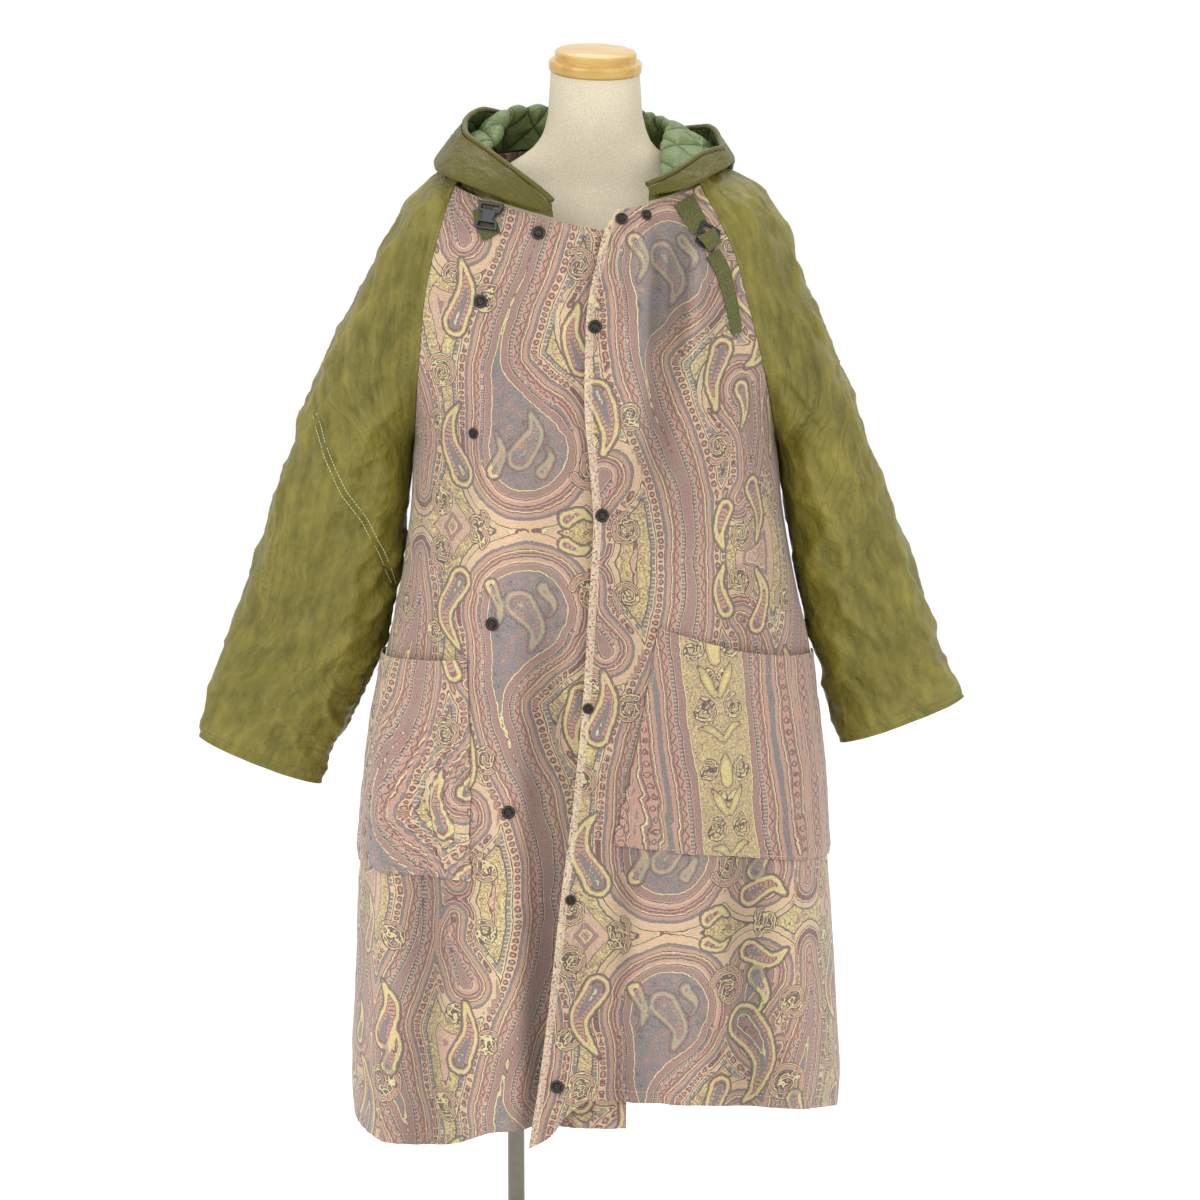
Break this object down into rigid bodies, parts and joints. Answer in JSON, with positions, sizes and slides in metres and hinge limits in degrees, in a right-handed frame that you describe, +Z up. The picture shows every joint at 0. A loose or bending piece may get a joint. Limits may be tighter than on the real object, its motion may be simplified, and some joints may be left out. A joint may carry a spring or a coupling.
{
  "type": "hooded snap coat on a dress form and stand",
  "caption": "Long hooded raglan coat in a woven paisley cloth with plain sleeves and a quilted hood, worn open on a limbless dress form on a pole stand.",
  "frame": {"origin": "centre of the base plate's underside, on the floor", "axes": "+Z up along the stand, -Y the wearer's front, +X the wearer's left"},
  "size_m": [0.927, 0.4113, 1.5917],
  "materials": {
    "shawl_cloth": "woven jacquard, matte",
    "olive_nylon": "thin nylon with a slight sheen",
    "green_quilting": "quilted nylon with a slight sheen",
    "form_linen": "natural linen",
    "cap_wood": "satin lacquer",
    "stand_steel": "brushed",
    "snap_metal": "dark, semi-gloss",
    "buckle_plastic": "satin",
    "olive_webbing": "ribbed webbing"
  },
  "bodies": {
    "root": {"back": "shawl_cloth", "front_right": "shawl_cloth", "front_left": "shawl_cloth", "pocket_right": "shawl_cloth", "pocket_left": "shawl_cloth", "sleeve_right": "olive_nylon", "sleeve_left": "olive_nylon", "hood_shell": "olive_nylon", "hood_rim": "olive_nylon", "hood_lining": "green_quilting", "snap_right_1": "snap_metal", "snap_right_2": "snap_metal", "snap_right_3": "snap_metal", "snap_right_4": "snap_metal", "snap_right_5": "snap_metal", "snap_left_6": "snap_metal", "snap_left_7": "snap_metal", "snap_left_8": "snap_metal", "snap_left_9": "snap_metal", "snap_left_10": "snap_metal", "snap_left_11": "snap_metal", "snap_left_12": "snap_metal", "tab_right": "olive_webbing", "tab_left": "olive_webbing", "loop_left": "olive_webbing", "tail_left": "olive_webbing", "buckle_right": "buckle_plastic", "lock_left": "buckle_plastic", "form_torso": "form_linen", "form_cap": "cap_wood", "stand_pole": "stand_steel", "stand_base": "stand_steel"}
  },
  "joints": []
}
